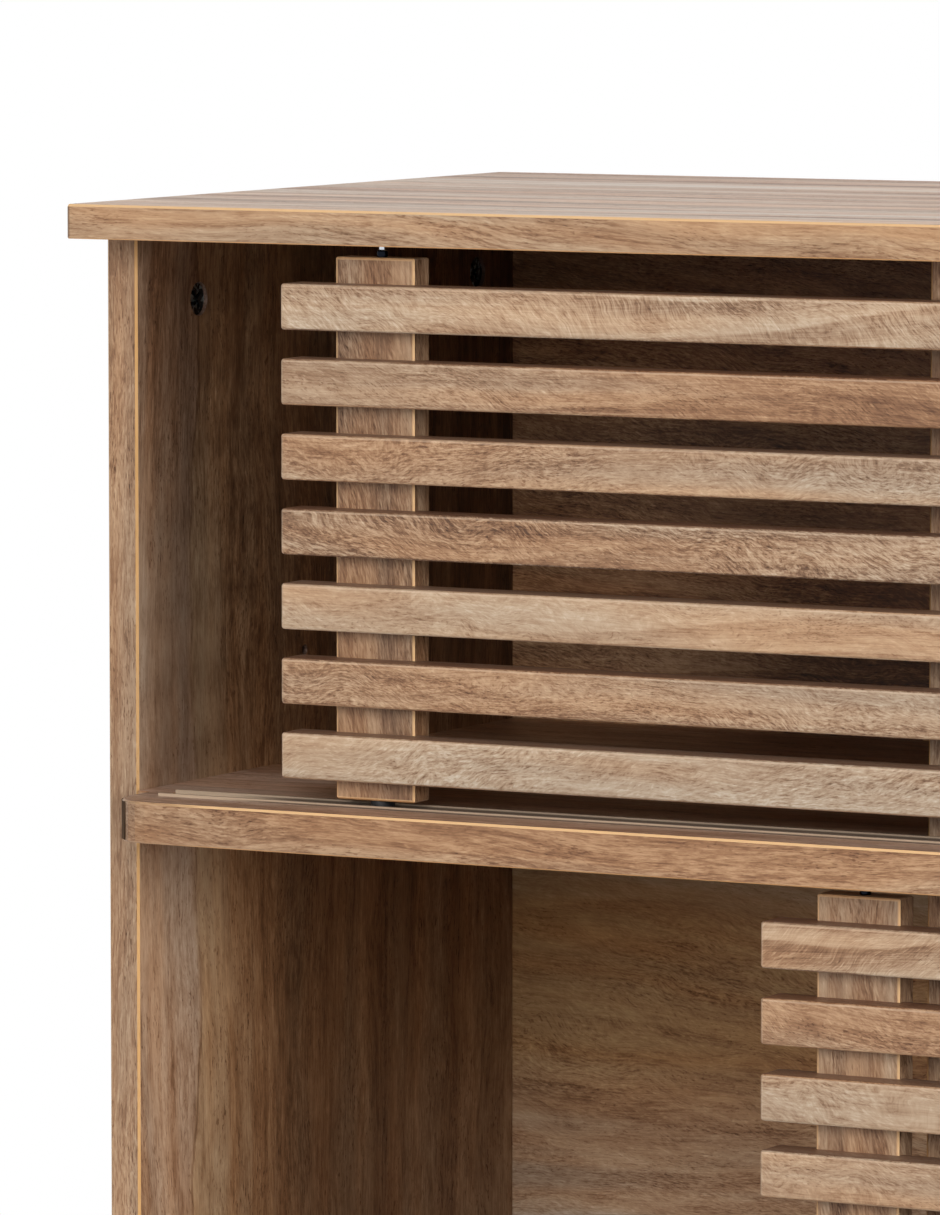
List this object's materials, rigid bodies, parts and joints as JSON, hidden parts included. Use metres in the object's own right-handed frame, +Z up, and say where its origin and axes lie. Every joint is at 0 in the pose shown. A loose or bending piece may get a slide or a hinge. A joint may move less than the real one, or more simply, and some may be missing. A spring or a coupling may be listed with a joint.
{
  "type": "credenza",
  "caption": "Low two-tier wooden credenza with open bays and a slatted door sliding along a track in front of each tier, on short tapered legs.",
  "frame": {"origin": "on the floor, under the centre of the overall box", "axes": "+X to the right as seen from the front, +Y towards the back, +Z up"},
  "size_m": [1.2, 0.4, 0.7],
  "materials": {
    "board_wood": "faux walnut melamine, satin, with a thin golden line along each eased edge",
    "inner_wood": "faux walnut melamine, satin, in the carcass",
    "slat_wood": "pale walnut slats and stiles, satin",
    "leg_wood": "turned wood, satin lacquer",
    "track_plastic": "beige extruded plastic",
    "black_plastic": "moulded black plastic",
    "chrome": "bright chrome",
    "zinc": "dark zinc die casting, satin"
  },
  "bodies": {
    "carcass": {"top_panel": "board_wood", "bottom_panel": "board_wood", "middle_shelf": "board_wood", "left_side_panel": "inner_wood", "right_side_panel": "inner_wood", "upper_left_divider": "inner_wood", "upper_right_divider": "inner_wood", "lower_left_divider": "inner_wood", "lower_right_divider": "inner_wood", "back_panel": "inner_wood", "upper_track": "track_plastic", "lower_track": "track_plastic", "upper_guide": "track_plastic", "lower_guide": "track_plastic", "left_side_front_cam": "zinc", "left_side_rear_cam": "zinc", "right_side_front_cam": "zinc", "right_side_rear_cam": "zinc", "left_side_front_bolt": "zinc", "left_side_rear_bolt": "zinc", "right_side_front_bolt": "zinc", "right_side_rear_bolt": "zinc", "left_divider_front_cam": "zinc", "left_divider_rear_cam": "zinc", "right_divider_front_cam": "zinc", "right_divider_rear_cam": "zinc", "front_left_leg": "leg_wood", "front_right_leg": "leg_wood", "rear_left_leg": "leg_wood", "rear_right_leg": "leg_wood", "front_left_foot_pad": "black_plastic", "front_right_foot_pad": "black_plastic", "rear_left_foot_pad": "black_plastic", "rear_right_foot_pad": "black_plastic"},
    "upper_door": {"upper_door_slat_1": "slat_wood", "upper_door_slat_2": "slat_wood", "upper_door_slat_3": "slat_wood", "upper_door_slat_4": "slat_wood", "upper_door_slat_5": "slat_wood", "upper_door_slat_6": "slat_wood", "upper_door_slat_7": "slat_wood", "upper_door_left_stile": "slat_wood", "upper_door_right_stile": "slat_wood", "upper_door_left_pin": "chrome", "upper_door_right_pin": "chrome", "upper_door_left_glide": "black_plastic", "upper_door_right_glide": "black_plastic"},
    "lower_door": {"lower_door_slat_1": "slat_wood", "lower_door_slat_2": "slat_wood", "lower_door_slat_3": "slat_wood", "lower_door_slat_4": "slat_wood", "lower_door_slat_5": "slat_wood", "lower_door_slat_6": "slat_wood", "lower_door_slat_7": "slat_wood", "lower_door_left_stile": "slat_wood", "lower_door_right_stile": "slat_wood", "lower_door_left_pin": "chrome", "lower_door_right_pin": "chrome", "lower_door_left_glide": "black_plastic", "lower_door_right_glide": "black_plastic"}
  },
  "joints": [
    {"name": "upper_door_slide", "type": "slide", "parent": "carcass", "child": "upper_door", "axis": [1, 0, 0], "range_m": [-0.101, 0.699]},
    {"name": "lower_door_slide", "type": "slide", "parent": "carcass", "child": "lower_door", "axis": [1, 0, 0], "range_m": [-0.3315, 0.4685]}
  ]
}
